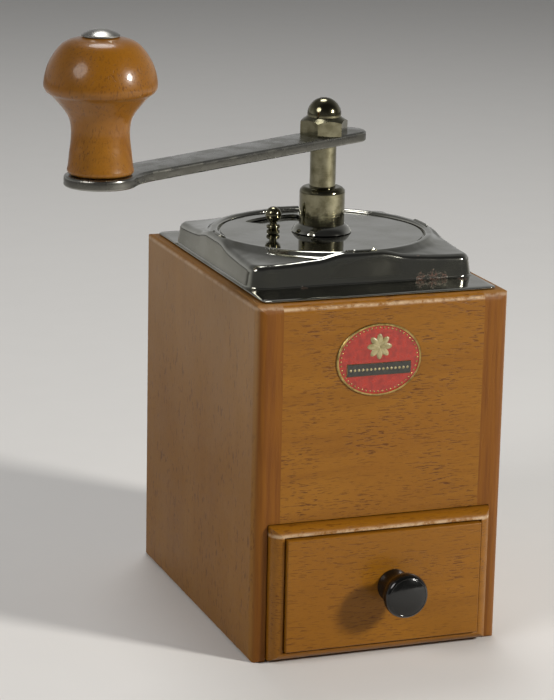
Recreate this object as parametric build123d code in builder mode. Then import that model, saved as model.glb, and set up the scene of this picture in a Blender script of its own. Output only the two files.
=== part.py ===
from build123d import *
import os
from math import acos, atan2, cos, degrees, radians, sin, sqrt, tan

os.makedirs("parts", exist_ok=True)

# Poppy seed mill: a lacquered beech box with a pressed steel cover, a hand crank,
# a turning lid over the hopper, a burr mill inside and a drawer for the ground seed.
# Millimetres, +Z up. The origin is on the table under the middle of the box and
# the drawer faces -Y.

# ---- box ----
body_width = 98.0
body_depth = 132.0
body_height = 134.0
board_thickness = 10.0
upright_radius = 4.0       # the four upright edges
brow_radius = 3.5          # top edges at the front and the back
side_top_radius = 1.6      # top edges at the sides
foot_radius = 1.5          # edges round the underside
base_thickness = 6.0
shelf_thickness = 8.0

# ---- drawer ----
drawer_front_width = 86.6
drawer_front_height = 51.2
drawer_front_lift = 1.3    # gap between the drawer front and the table
rebate_depth = 4.0         # how far the drawer front sits into the box
front_edge_proud = 0.6     # the drawer front's square edge, in front of the box
front_round = 2.8          # rounded rim inside that edge
front_side_border = 5.2    # rim and ledge beside the raised field
front_top_border = 4.2     # the same above and below it
front_field_step = 3.4     # the field stands this far in front of the ledge
front_reveal = 0.4         # gap round the drawer front
slide_clearance = 0.3      # gap between the drawer box and the bay
drawer_side_thickness = 6.0
drawer_bottom_thickness = 3.0
drawer_bottom_inset = 1.0
drawer_box_drop = 8.2      # the drawer box is this much lower than its front
drawer_rear_gap = 5.0
drawer_knob_x = 3.4
drawer_knob_rise = 26.2    # knob axis above the drawer front's lower edge
drawer_knob_radius = 8.4
drawer_knob_face_radius = 6.8
drawer_knob_shoulder_radius = 6.2
drawer_knob_neck_radius = 5.4
drawer_knob_foot_radius = 6.2
drawer_knob_length = 15.4
drawer_knob_foot_height = 1.0
drawer_knob_waist_height = 4.8
drawer_knob_shoulder_height = 8.0
drawer_knob_rim_height = 11.5
drawer_knob_face_height = 14.3
drawer_screw_radius = 2.0
drawer_screw_head_radius = 4.0
drawer_screw_head_height = 2.4
drawer_screw_reach = 8.0   # how far the screw goes into the knob

# ---- pressed steel cover ----
sheet = 0.9
flange_inset = 3.5         # wood showing outside the flange
flange_corner = 3.0
platform_margin = 0.6      # flange showing beside the platform
platform_corner = 4.0
platform_height = 9.2
platform_edge = 2.2
ring_inset = 1.7           # the ring's foot inside the platform's sides
ring_height = 12.4
ring_width = 4.0
ring_edge = 1.1
floor_rise = 10.2          # top of the plate that the lid turns on
window_inner_radius = 15.0
window_outer_radius = 33.0
window_half_angle = 24.0
window_corner = 2.0
floor_window_angle = 205.0
lid_window_angle = 110.0

# ---- lid ----
lid_thickness = 1.0
moving_gap = 0.3           # between pieces that slide or turn on each other
lid_rim_gap = 0.8
lid_knob_reach = 18.5      # from the middle of the lid to its knob
lid_knob_angle = 168.0
lid_knob_height = 9.6
lid_knob_ball_radius = 3.1
lid_knob_foot_radius = 2.5
lid_knob_foot_height = 0.5
lid_knob_waist_radius = 1.4
lid_knob_bead_radius = 2.6
lid_knob_bead_low = 1.2
lid_knob_bead_high = 2.8
lid_rivet_radius = 1.2
washer_radius = 11.4
washer_height = 2.9
washer_bulge = 0.5         # how far the washer's back is arched

# ---- shaft, bearing and crank ----
spindle_radius = 4.95
running_fit = 0.05
bearing_radius = 8.65
bearing_height = 18.7      # above the cover's plate
bearing_edge = 2.2
bearing_spigot_radius = 6.5
bearing_spigot_length = 6.0
bearing_nut_flats = 20.0
bearing_nut_height = 4.0
arm_rise = 45.1            # underside of the arm above the box
arm_thickness = 3.8
arm_width = 16.0
arm_tail = 20.8            # arm beyond the shaft
arm_edge = 0.5
eye_radius = 12.6
eye_blend = 25.0
crank_radius = 120.6
crank_angle = 209.5
tang_size = 6.9
thread_radius = 3.9
thread_length = 9.5
thread_end_gap = 0.9       # room past the thread inside the cap nut
nut_flats = 16.0
nut_hex_height = 6.8
nut_chamfer_angle = 34.0   # slope of the hexagon's turned top corners
nut_total_height = 13.9
nut_dome_radius = 6.4
nut_turn = -5.4

# ---- crank knob ----
knob_height = 46.9
knob_radius = 19.35
knob_waist_radius = 10.0
knob_shank_radius = 10.65  # halfway between the foot and the waist
knob_neck_radius = 11.6    # above the waist, where the knob opens out
knob_under_radius = 14.9
knob_lip_radius = 18.3
knob_shoulder_radius = 17.7
knob_crown_radius = 13.5
knob_foot_radius = 11.4
knob_shank_height = 8.0
knob_waist_height = 14.3
knob_neck_height = 20.8
knob_under_height = 25.0
knob_lip_height = 28.3
knob_widest_height = 30.7
knob_shoulder_height = 37.7
knob_crown_height = 44.0
knob_heel = 1.2            # rounding of the knob's foot
knob_top_radius = 6.6
knob_gap = 0.3
knob_pin_radius = 3.0
pin_head_height = 2.5
pin_head_edge = 0.5
pin_tail_radius = 5.0
pin_tail_height = 1.2

# ---- mill ----
housing_radius = 24.0
housing_height = 26.0
housing_foot_radius = 27.0
housing_foot_height = 4.0
housing_wall = 4.5
housing_lip_height = 2.0
ear_reach = 31.0
ear_radius = 4.5
burr_height = 14.0
burr_wide_radius = 15.4
burr_narrow_radius = 10.0
burr_gap = 0.5
burr_teeth = 16
tooth_width = 1.6
tooth_depth = 1.0
burr_pin_radius = 1.45
bridge_width = 11.0
bridge_boss_radius = 8.0
bridge_boss_height = 9.0
wheel_radius = 11.0
wheel_thickness = 5.0
wheel_notches = 16
wheel_notch_radius = 0.9
wheel_gap = 1.5            # wheel to shelf
wheel_clearance = 2.2      # drawer to wheel
screw_stem_drop = 6.0      # top of the setting screw below the top of the boss
spring_wire_radius = 0.6
spring_turns = 4
bowl_clearance = 2.9       # hopper bowl to the side boards
bowl_cone_height = 24.0
stud_radius = 2.0
stud_gap = 1.0
stud_nut_flats = 7.0
stud_nut_height = 3.5
stud_end = 0.8
screw_radius = 2.0
screw_head_radius = 4.0
screw_head_height = 2.4

# ---- badge ----
badge_width = 33.0
badge_height = 27.0
badge_thickness = 0.6
badge_edge = 0.2
badge_x = -2.3
badge_drop = 22.2          # badge centre below the top of the box

# ---- places worked out from the sizes above ----
half_width = body_width / 2
front_y = -body_depth / 2
inner_x = half_width - board_thickness
inner_y = body_depth / 2 - board_thickness
rebate_y = front_y + rebate_depth
drawer_front_top = drawer_front_lift + drawer_front_height
front_board_bottom = drawer_front_top + front_reveal
box_bottom = base_thickness + slide_clearance
box_height = drawer_front_height - drawer_box_drop
box_top = box_bottom + box_height
box_x = inner_x - slide_clearance
box_rear = inner_y - drawer_rear_gap
wheel_bottom = box_top + wheel_clearance
wheel_top = wheel_bottom + wheel_thickness
shelf_bottom = wheel_top + wheel_gap
shelf_top = shelf_bottom + shelf_thickness
housing_top = shelf_top + housing_height
bore_radius = housing_radius - housing_wall
boss_top = shelf_top + bridge_boss_height
stem_top = boss_top - screw_stem_drop
outer_burr_top = housing_top - housing_lip_height
outer_burr_bottom = outer_burr_top - burr_height
burr_slope = degrees(atan2(burr_wide_radius - burr_narrow_radius, burr_height))
spindle_bottom = stem_top + moving_gap
flange_width = body_width - 2 * flange_inset
flange_depth = body_depth - 2 * flange_inset
platform_size = flange_width - 2 * platform_margin
ring_radius = platform_size / 2 - ring_inset
well_radius = ring_radius - ring_width
floor_top = body_height + floor_rise
floor_under = floor_top - sheet
lid_bottom = floor_top + moving_gap
lid_top = lid_bottom + lid_thickness
bearing_top = floor_top + bearing_height
arm_bottom = body_height + arm_rise
arm_top = arm_bottom + arm_thickness
crank_x = crank_radius * cos(radians(crank_angle))
crank_y = crank_radius * sin(radians(crank_angle))
knob_bottom = arm_top + knob_gap
knob_top = knob_bottom + knob_height
bowl_radius = inner_x - bowl_clearance
bowl_mouth_radius = bore_radius - housing_lip_height
stud_y = bowl_radius + stud_gap + stud_radius
ledge_rise = front_edge_proud + front_round
field_y = front_y - ledge_rise - front_field_step
drawer_knob_z = drawer_front_lift + drawer_knob_rise
low = (Align.CENTER, Align.CENTER, Align.MIN)


def upright(x, y, z):
    """The plane of a turned profile: its x is the radius and its y is the height."""
    return Plane(origin=(x, y, z), x_dir=(1, 0, 0), z_dir=(0, -1, 0))


def crown_arc(radius, low, high):
    """The half outline of a round cap that starts at a radius and closes on the axis."""
    ball = (radius**2 + (high - low) ** 2) / (2 * (high - low))
    start_angle = degrees(atan2(low - high + ball, radius))
    return CenterArc((0, high - ball), ball, start_angle, 90 - start_angle)


def window_face(height, angle):
    """A slice of a ring, for the openings that the seed is poured through."""
    reach = 2 * window_outer_radius
    first = radians(angle - window_half_angle)
    last = radians(angle + window_half_angle)
    with BuildSketch(Plane.XY.offset(height)) as face:
        Circle(window_outer_radius)
        Circle(window_inner_radius, mode=Mode.SUBTRACT)
        with BuildLine():
            Polyline(
                (0, 0),
                (reach * cos(first), reach * sin(first)),
                (reach * cos(last), reach * sin(last)),
                close=True,
            )
        make_face(mode=Mode.INTERSECT)
        fillet(face.vertices(), window_corner)
    return face.sketch


def end_view(plane, width, top_radius):
    """The box seen from one side, with its top and bottom edges rounded."""
    with BuildSketch(plane) as view:
        with Locations((0, body_height / 2)):
            Rectangle(width, body_height)
        fillet(view.vertices().group_by(Axis.Y)[-1], top_radius)
        fillet(view.vertices().group_by(Axis.Y)[0], foot_radius)
    return view.sketch


# ================= wooden box =================

# each edge is rounded along its whole length, so the roundings meet in a mitre
with BuildPart() as body_blank:
    with BuildSketch():
        RectangleRounded(body_width, body_depth, upright_radius)
    extrude(amount=body_height)
    side_view = end_view(Plane.YZ, body_depth, brow_radius)
    extrude(side_view, amount=body_width, both=True, mode=Mode.INTERSECT)
    front_view = end_view(Plane.XZ, body_width, side_top_radius)
    extrude(front_view, amount=body_depth, both=True, mode=Mode.INTERSECT)

for side, name in ((-1, "left_side_board"), (1, "right_side_board")):
    with BuildPart() as side_board:
        add(body_blank.part)
        with Locations((side * (inner_x + board_thickness / 2), 0, 0)):
            Box(board_thickness, body_depth, body_height, align=low, mode=Mode.INTERSECT)
        # rebate that takes the end of the drawer front
        rebate_reach = drawer_front_width / 2 + front_reveal
        with Locations((side * rebate_reach / 2, front_y + rebate_depth / 2, 0)):
            Box(rebate_reach, rebate_depth, front_board_bottom, align=low, mode=Mode.SUBTRACT)
    side_board.part.label = name
    export_step(side_board.part, f"parts/{name}.step")

with BuildPart() as front_board:
    add(body_blank.part)
    with Locations((0, front_y + board_thickness / 2, front_board_bottom)):
        Box(2 * inner_x, board_thickness, body_height - front_board_bottom, align=low, mode=Mode.INTERSECT)
front_board.part.label = "front_board"
export_step(front_board.part, "parts/front_board.step")

with BuildPart() as back_board:
    add(body_blank.part)
    with Locations((0, inner_y + board_thickness / 2, 0)):
        Box(2 * inner_x, board_thickness, body_height, align=low, mode=Mode.INTERSECT)
back_board.part.label = "back_board"
export_step(back_board.part, "parts/back_board.step")

with BuildPart() as base_board:
    base_front = rebate_y + front_reveal
    with Locations((0, (base_front + inner_y) / 2, 0)):
        Box(2 * inner_x, inner_y - base_front, base_thickness, align=low)
base_board.part.label = "base_board"
export_step(base_board.part, "parts/base_board.step")

with BuildPart() as mill_shelf:
    with BuildSketch(Plane.XY.offset(shelf_bottom)):
        Rectangle(2 * inner_x, 2 * inner_y)
        Circle(bore_radius + running_fit, mode=Mode.SUBTRACT)
        with Locations((ear_reach, 0), (-ear_reach, 0)):
            Circle(screw_radius + running_fit, mode=Mode.SUBTRACT)
        with Locations((0, stud_y), (0, -stud_y)):
            Circle(stud_radius + running_fit, mode=Mode.SUBTRACT)
    extrude(amount=shelf_thickness)
mill_shelf.part.label = "mill_shelf"
export_step(mill_shelf.part, "parts/mill_shelf.step")

# ================= pressed cover and what it holds =================

floor_window = window_face(floor_under, floor_window_angle)

with BuildPart() as cover_plate:
    with BuildSketch(Plane.XY.offset(body_height)):
        RectangleRounded(platform_size, platform_size, platform_corner)
    extrude(amount=platform_height)
    fillet(cover_plate.faces().sort_by(Axis.Z)[-1].edges(), platform_edge)
    with BuildSketch(Plane.XY.offset(body_height)):
        RectangleRounded(flange_width, flange_depth, flange_corner)
    extrude(amount=sheet)
    with BuildSketch(Plane.XY.offset(body_height)):
        Circle(ring_radius)
    extrude(amount=ring_height)
    # the well that the lid turns in
    with BuildSketch(Plane.XY.offset(floor_top)):
        Circle(well_radius)
    extrude(amount=ring_height, mode=Mode.SUBTRACT)
    fillet(cover_plate.faces().sort_by(Axis.Z)[-1].edges(), ring_edge)
    # the underside, one sheet away from the outside
    with BuildSketch(Plane.XY.offset(body_height)):
        RectangleRounded(platform_size - 2 * sheet, platform_size - 2 * sheet, platform_corner - sheet)
    extrude(amount=platform_height - sheet, mode=Mode.SUBTRACT)
    with BuildSketch(Plane.XY.offset(body_height)):
        Circle(ring_radius - sheet)
    extrude(amount=floor_rise - sheet, mode=Mode.SUBTRACT)
    with BuildSketch(Plane.XY.offset(floor_under)):
        Circle(ring_radius - sheet)
        Circle(well_radius + sheet, mode=Mode.SUBTRACT)
    extrude(amount=ring_height - floor_rise, mode=Mode.SUBTRACT)
    # hole for the bearing and window for the seed
    with BuildSketch(Plane.XY.offset(floor_under)):
        Circle(bearing_spigot_radius + running_fit)
    extrude(amount=sheet, mode=Mode.SUBTRACT)
    extrude(floor_window, amount=sheet, mode=Mode.SUBTRACT)
cover_plate.part.label = "cover_plate"
export_step(cover_plate.part, "parts/cover_plate.step")

with BuildPart() as top_bearing:
    with BuildSketch(Plane.XY.offset(floor_top)):
        Circle(bearing_radius)
    extrude(amount=bearing_height)
    fillet(top_bearing.faces().sort_by(Axis.Z)[-1].edges(), bearing_edge)
    with BuildSketch(Plane.XY.offset(floor_top - bearing_spigot_length)):
        Circle(bearing_spigot_radius)
    extrude(amount=bearing_spigot_length)
    with BuildSketch(Plane.XY.offset(floor_top - bearing_spigot_length)):
        Circle(spindle_radius + running_fit)
    extrude(amount=bearing_spigot_length + bearing_height, mode=Mode.SUBTRACT)
top_bearing.part.label = "top_bearing"
export_step(top_bearing.part, "parts/top_bearing.step")

with BuildPart() as bearing_nut:
    with BuildSketch(Plane.XY.offset(floor_under - bearing_nut_height)):
        RegularPolygon(bearing_nut_flats / 2, 6, major_radius=False)
        Circle(bearing_spigot_radius + running_fit, mode=Mode.SUBTRACT)
    extrude(amount=bearing_nut_height)
bearing_nut.part.label = "bearing_nut"
export_step(bearing_nut.part, "parts/bearing_nut.step")

# dished washer that keeps the lid down
with BuildPart() as lid_washer:
    washer_bore = bearing_radius + running_fit
    washer_low = lid_top + moving_gap
    with BuildSketch(upright(0, 0, washer_low)):
        with BuildLine():
            middle = (washer_radius + washer_bore) / 2
            bulge = washer_height / 2 + washer_bulge
            crown = ThreePointArc((washer_radius, 0), (middle, bulge), (washer_bore, washer_height))
            inner = Line(crown @ 1, (washer_bore, washer_height - sheet))
            under = ThreePointArc(
                inner @ 1,
                (middle - sheet / 2, bulge - sheet),
                (washer_radius - sheet, 0),
            )
            Line(under @ 1, crown @ 0)
        make_face()
    revolve(axis=Axis.Z)
lid_washer.part.label = "lid_washer"
export_step(lid_washer.part, "parts/lid_washer.step")

# ================= lid =================

lid_window = window_face(lid_bottom, lid_window_angle)
lid_knob_x = lid_knob_reach * cos(radians(lid_knob_angle))
lid_knob_y = lid_knob_reach * sin(radians(lid_knob_angle))

with BuildPart() as lid_disc:
    with BuildSketch(Plane.XY.offset(lid_bottom)):
        Circle(well_radius - lid_rim_gap)
        Circle(bearing_radius + moving_gap, mode=Mode.SUBTRACT)
        with Locations((lid_knob_x, lid_knob_y)):
            Circle(lid_rivet_radius + running_fit, mode=Mode.SUBTRACT)
    extrude(amount=lid_thickness)
    extrude(lid_window, amount=lid_thickness, mode=Mode.SUBTRACT)
lid_disc.part.label = "lid_disc"
export_step(lid_disc.part, "parts/lid_disc.step")

with BuildPart() as lid_knob:
    ball = lid_knob_ball_radius
    waist = lid_knob_waist_radius
    ball_centre = lid_knob_height - ball
    ball_start = degrees(acos(waist / ball))
    with BuildSketch(upright(lid_knob_x, lid_knob_y, lid_top)):
        with BuildLine():
            stem = Polyline(
                (0, -lid_thickness),
                (lid_rivet_radius, -lid_thickness),
                (lid_rivet_radius, 0),
                (lid_knob_foot_radius, 0),
                (lid_knob_foot_radius, lid_knob_foot_height),
                (waist, lid_knob_bead_low),
            )
            bead = ThreePointArc(
                stem @ 1,
                (lid_knob_bead_radius, (lid_knob_bead_low + lid_knob_bead_high) / 2),
                (waist, lid_knob_bead_high),
            )
            Line(bead @ 1, (waist, ball_centre - sqrt(ball**2 - waist**2)))
            CenterArc((0, ball_centre), ball, -ball_start, ball_start + 90)
            Line((0, lid_knob_height), (0, -lid_thickness))
        make_face()
    revolve(axis=Axis((lid_knob_x, lid_knob_y, 0), (0, 0, 1)))
lid_knob.part.label = "lid_knob"
export_step(lid_knob.part, "parts/lid_knob.step")

# ================= hopper and burr mill =================

with BuildPart() as hopper_bowl:
    cone_top = housing_top + bowl_cone_height
    with BuildSketch(Plane.XZ):
        with BuildLine():
            Polyline(
                (bowl_mouth_radius, housing_top),
                (bowl_mouth_radius + 3 * sheet, housing_top),
                (bowl_radius, cone_top - sheet),
                (bowl_radius, floor_under),
                (bowl_radius - sheet, floor_under),
                (bowl_radius - sheet, cone_top),
                (bowl_mouth_radius + 2 * sheet, housing_top + sheet),
                (bowl_mouth_radius, housing_top + sheet),
                close=True,
            )
        make_face()
    revolve(axis=Axis.Z)
hopper_bowl.part.label = "hopper_bowl"
export_step(hopper_bowl.part, "parts/hopper_bowl.step")

with BuildPart() as burr_housing:
    with BuildSketch(Plane.XY.offset(shelf_top)):
        Circle(housing_radius)
    extrude(amount=housing_height)
    with BuildSketch(Plane.XY.offset(shelf_top)):
        Circle(housing_foot_radius)
        Rectangle(2 * ear_reach, 2 * ear_radius)
        with Locations((ear_reach, 0), (-ear_reach, 0)):
            Circle(ear_radius)
    extrude(amount=housing_foot_height)
    with BuildSketch(Plane.XY.offset(shelf_top)):
        Circle(bore_radius)
    extrude(amount=housing_height - housing_lip_height, mode=Mode.SUBTRACT)
    with BuildSketch(Plane.XY.offset(shelf_top)):
        Circle(bowl_mouth_radius)
        Rectangle(bridge_width + 2 * running_fit, 2 * housing_foot_radius)
        with Locations((ear_reach, 0), (-ear_reach, 0)):
            Circle(screw_radius + running_fit)
    extrude(amount=housing_foot_height, mode=Mode.SUBTRACT)
    with BuildSketch(Plane.XY.offset(outer_burr_top)):
        Circle(bowl_mouth_radius)
    extrude(amount=housing_lip_height, mode=Mode.SUBTRACT)
burr_housing.part.label = "burr_housing"
export_step(burr_housing.part, "parts/burr_housing.step")

with BuildPart() as housing_screws:
    ear_top = shelf_top + housing_foot_height
    with Locations((ear_reach, 0, ear_top), (-ear_reach, 0, ear_top)):
        Cylinder(screw_head_radius, screw_head_height, align=low)
    with Locations((ear_reach, 0, shelf_bottom), (-ear_reach, 0, shelf_bottom)):
        Cylinder(screw_radius, shelf_thickness + housing_foot_height, align=low)
housing_screws.part.label = "housing_screws"
export_step(housing_screws.part, "parts/housing_screws.step")

with BuildPart() as outer_burr:
    tooth_radius = (burr_wide_radius + burr_narrow_radius) / 2 + burr_gap
    with BuildSketch(Plane.XZ):
        with BuildLine():
            Polyline(
                (burr_wide_radius + burr_gap, outer_burr_bottom),
                (bore_radius - running_fit, outer_burr_bottom),
                (bore_radius - running_fit, outer_burr_top),
                (burr_narrow_radius + burr_gap, outer_burr_top),
                close=True,
            )
        make_face()
    revolve(axis=Axis.Z)
    with Locations((0, 0, outer_burr_bottom + burr_height / 2)):
        with PolarLocations(tooth_radius, burr_teeth):
            Box(
                2 * tooth_depth,
                tooth_width,
                2 * burr_height,
                rotation=(0, -burr_slope, 0),
                mode=Mode.SUBTRACT,
            )
outer_burr.part.label = "outer_burr"
export_step(outer_burr.part, "parts/outer_burr.step")

with BuildPart() as inner_burr:
    with BuildSketch(Plane.XZ):
        with BuildLine():
            Polyline(
                (spindle_radius + running_fit, outer_burr_bottom),
                (burr_wide_radius, outer_burr_bottom),
                (burr_narrow_radius, outer_burr_top),
                (spindle_radius + running_fit, outer_burr_top),
                close=True,
            )
        make_face()
    revolve(axis=Axis.Z)
    with Locations((0, 0, outer_burr_bottom + burr_height / 2)):
        with PolarLocations((burr_wide_radius + burr_narrow_radius) / 2, burr_teeth):
            Box(
                2 * tooth_depth,
                tooth_width,
                2 * burr_height,
                rotation=(0, -burr_slope, 0),
                mode=Mode.SUBTRACT,
            )
        Cylinder(burr_pin_radius + running_fit, 2 * burr_wide_radius, rotation=(90, 0, 0), mode=Mode.SUBTRACT)
inner_burr.part.label = "inner_burr"
export_step(inner_burr.part, "parts/inner_burr.step")

with BuildPart() as burr_pin:
    with Locations((0, 0, outer_burr_bottom + burr_height / 2)):
        Cylinder(burr_pin_radius, 2 * (burr_narrow_radius - tooth_depth), rotation=(90, 0, 0))
burr_pin.part.label = "burr_pin"
export_step(burr_pin.part, "parts/burr_pin.step")

with BuildPart() as lower_bridge:
    with BuildSketch(Plane.XY.offset(shelf_top)):
        Rectangle(bridge_width, 2 * housing_foot_radius)
    extrude(amount=housing_foot_height)
    with BuildSketch(Plane.XY.offset(shelf_top)):
        Circle(bridge_boss_radius)
    extrude(amount=bridge_boss_height)
    with BuildSketch(Plane.XY.offset(shelf_top)):
        Circle(spindle_radius + running_fit)
    extrude(amount=bridge_boss_height, mode=Mode.SUBTRACT)
lower_bridge.part.label = "lower_bridge"
export_step(lower_bridge.part, "parts/lower_bridge.step")

with BuildPart() as tie_studs:
    stud_bottom = shelf_bottom - stud_nut_height - stud_end
    with Locations((0, stud_y, stud_bottom), (0, -stud_y, stud_bottom)):
        Cylinder(stud_radius, floor_under - stud_bottom, align=low)
tie_studs.part.label = "tie_studs"
export_step(tie_studs.part, "parts/tie_studs.step")

with BuildPart() as tie_nuts:
    with BuildSketch(Plane.XY.offset(shelf_bottom - stud_nut_height)):
        with Locations((0, stud_y), (0, -stud_y)):
            RegularPolygon(stud_nut_flats / 2, 6, major_radius=False)
            Circle(stud_radius + running_fit, mode=Mode.SUBTRACT)
    extrude(amount=stud_nut_height)
tie_nuts.part.label = "tie_nuts"
export_step(tie_nuts.part, "parts/tie_nuts.step")

# setting wheel with its screw, turned from inside the drawer bay
with BuildPart() as adjusting_wheel:
    with BuildSketch(Plane.XY.offset(wheel_bottom)):
        Circle(wheel_radius)
        with PolarLocations(wheel_radius, wheel_notches):
            Circle(wheel_notch_radius, mode=Mode.SUBTRACT)
    extrude(amount=wheel_thickness)
    with BuildSketch(Plane.XY.offset(wheel_top)):
        Circle(spindle_radius)
    extrude(amount=stem_top - wheel_top)
adjusting_wheel.part.label = "adjusting_wheel"
export_step(adjusting_wheel.part, "parts/adjusting_wheel.step")

with BuildPart() as adjuster_spring:
    coil_radius = spindle_radius + 2 * spring_wire_radius + moving_gap
    coil_bottom = wheel_top + spring_wire_radius
    coil_height = shelf_top - moving_gap - spring_wire_radius - coil_bottom
    with BuildLine():
        coil = Helix(coil_height / spring_turns, coil_height, coil_radius, center=(0, 0, coil_bottom))
    with BuildSketch(Plane(origin=coil @ 0, z_dir=coil % 0)):
        Circle(spring_wire_radius)
    sweep(is_frenet=True)
adjuster_spring.part.label = "adjuster_spring"
export_step(adjuster_spring.part, "parts/adjuster_spring.step")

# ================= crank =================

with BuildPart() as spindle:
    with BuildSketch(Plane.XY.offset(spindle_bottom)):
        Circle(spindle_radius)
    extrude(amount=arm_bottom - spindle_bottom)
    with BuildSketch(Plane.XY.offset(arm_bottom)):
        Rectangle(tang_size, tang_size, rotation=crank_angle)
    extrude(amount=arm_thickness)
    with BuildSketch(Plane.XY.offset(arm_top)):
        Circle(thread_radius)
    extrude(amount=thread_length)
    with Locations((0, 0, outer_burr_bottom + burr_height / 2)):
        Cylinder(burr_pin_radius + running_fit, 4 * spindle_radius, rotation=(90, 0, 0), mode=Mode.SUBTRACT)
spindle.part.label = "spindle"
export_step(spindle.part, "parts/spindle.step")

arm_plane = Plane(
    origin=(0, 0, arm_bottom),
    x_dir=(cos(radians(crank_angle)), sin(radians(crank_angle)), 0),
    z_dir=(0, 0, 1),
)

with BuildPart() as crank_arm:
    with BuildSketch(arm_plane) as arm_outline:
        tail_centre = arm_tail - arm_width / 2
        with Locations((crank_radius, 0)):
            Circle(eye_radius)
        with Locations((-tail_centre, 0)):
            Circle(arm_width / 2)
        with Locations(((crank_radius - tail_centre) / 2, 0)):
            Rectangle(crank_radius + tail_centre, arm_width)
        # the two corners where the arm runs into the eye
        corners = arm_outline.vertices().sort_by_distance((crank_radius - eye_radius, 0))
        fillet(corners[0:2], eye_blend)
    extrude(amount=arm_thickness)
    chamfer(crank_arm.faces().sort_by(Axis.Z)[-1].edges(), arm_edge)
    chamfer(crank_arm.faces().sort_by(Axis.Z)[0].edges(), arm_edge)
    with BuildSketch(arm_plane):
        Rectangle(tang_size + 2 * running_fit, tang_size + 2 * running_fit)
        with Locations((crank_radius, 0)):
            Circle(knob_pin_radius + running_fit)
    extrude(amount=arm_thickness, mode=Mode.SUBTRACT)
crank_arm.part.label = "crank_arm"
export_step(crank_arm.part, "parts/crank_arm.step")

with BuildPart() as cap_nut:
    dome_centre = nut_total_height - nut_dome_radius
    chamfer_drop = (nut_flats - nut_dome_radius) * tan(radians(nut_chamfer_angle))
    with BuildSketch(Plane.XY.offset(arm_top)):
        RegularPolygon(nut_flats / 2, 6, major_radius=False, rotation=nut_turn)
    extrude(amount=nut_hex_height)
    # the hexagon's top corners are turned away down to the dome
    with BuildSketch(upright(0, 0, arm_top)):
        with BuildLine():
            Polyline(
                (0, 0),
                (nut_flats, 0),
                (nut_flats, nut_hex_height - chamfer_drop),
                (nut_dome_radius, nut_hex_height),
                (0, nut_hex_height),
                close=True,
            )
        make_face()
    revolve(axis=Axis.Z, mode=Mode.INTERSECT)
    with BuildSketch(upright(0, 0, arm_top)):
        with BuildLine():
            Polyline((0, 0), (nut_dome_radius, 0), (nut_dome_radius, dome_centre))
            crown_arc(nut_dome_radius, dome_centre, nut_total_height)
            Line((0, nut_total_height), (0, 0))
        make_face()
    revolve(axis=Axis.Z)
    with BuildSketch(Plane.XY.offset(arm_top)):
        Circle(thread_radius + running_fit)
    extrude(amount=thread_length + thread_end_gap, mode=Mode.SUBTRACT)
cap_nut.part.label = "cap_nut"
export_step(cap_nut.part, "parts/cap_nut.step")

crank_axis = Axis((crank_x, crank_y, 0), (0, 0, 1))

with BuildPart() as knob_pin:
    with BuildSketch(upright(crank_x, crank_y, arm_bottom)):
        with BuildLine():
            head_low = knob_top + knob_gap - arm_bottom
            Polyline(
                (0, -pin_tail_height),
                (pin_tail_radius, -pin_tail_height),
                (pin_tail_radius, 0),
                (knob_pin_radius, 0),
                (knob_pin_radius, head_low),
                (knob_top_radius, head_low),
                (knob_top_radius, head_low + pin_head_edge),
            )
            crown_arc(knob_top_radius, head_low + pin_head_edge, head_low + pin_head_height)
            Line((0, head_low + pin_head_height), (0, -pin_tail_height))
        make_face()
    revolve(axis=crank_axis)
knob_pin.part.label = "knob_pin"
export_step(knob_pin.part, "parts/knob_pin.step")

with BuildPart() as crank_knob:
    with BuildSketch(upright(crank_x, crank_y, knob_bottom)):
        with BuildLine():
            bore = knob_pin_radius + running_fit
            foot = Line((bore, 0), (knob_foot_radius - knob_heel, 0))
            heel = RadiusArc(foot @ 1, (knob_foot_radius, knob_heel), -knob_heel)
            shank = Spline(
                heel @ 1,
                (knob_shank_radius, knob_shank_height),
                (knob_waist_radius, knob_waist_height),
                (knob_neck_radius, knob_neck_height),
                (knob_under_radius, knob_under_height),
                (knob_lip_radius, knob_lip_height),
                (knob_radius, knob_widest_height),
                (knob_shoulder_radius, knob_shoulder_height),
                (knob_crown_radius, knob_crown_height),
                (knob_top_radius, knob_height),
                tangents=((0, 1), (-1, 0.12)),
            )
            Polyline(shank @ 1, (bore, knob_height), (bore, 0))
        make_face()
    revolve(axis=crank_axis)
crank_knob.part.label = "crank_knob"
export_step(crank_knob.part, "parts/crank_knob.step")

# ================= drawer =================

front_plane = Plane(
    origin=(0, rebate_y, drawer_front_lift + drawer_front_height / 2),
    x_dir=(1, 0, 0),
    z_dir=(0, -1, 0),
)
ledge_plane = front_plane.offset(rebate_depth + ledge_rise)
knob_offset = (drawer_knob_x, drawer_knob_rise - drawer_front_height / 2)
field_width = drawer_front_width - 2 * front_side_border
field_height = drawer_front_height - 2 * front_top_border

with BuildPart() as drawer_front:
    with BuildSketch(front_plane):
        Rectangle(drawer_front_width, drawer_front_height)
    extrude(amount=rebate_depth + ledge_rise)
    fillet(drawer_front.faces().sort_by(Axis.Y)[0].edges(), front_round)
    with BuildSketch(ledge_plane):
        Rectangle(field_width, field_height)
    extrude(amount=front_field_step)
    with BuildSketch(front_plane):
        with Locations(knob_offset):
            Circle(drawer_screw_radius + running_fit)
    extrude(amount=rebate_y - field_y, mode=Mode.SUBTRACT)
drawer_front.part.label = "drawer_front"
export_step(drawer_front.part, "parts/drawer_front.step")

for side, name in ((-1, "drawer_left_side"), (1, "drawer_right_side")):
    with BuildPart() as drawer_side:
        with Locations((side * (box_x - drawer_side_thickness / 2), (rebate_y + box_rear) / 2, box_bottom)):
            Box(drawer_side_thickness, box_rear - rebate_y, box_height, align=low)
    drawer_side.part.label = name
    export_step(drawer_side.part, f"parts/{name}.step")

inside_x = box_x - drawer_side_thickness

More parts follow.
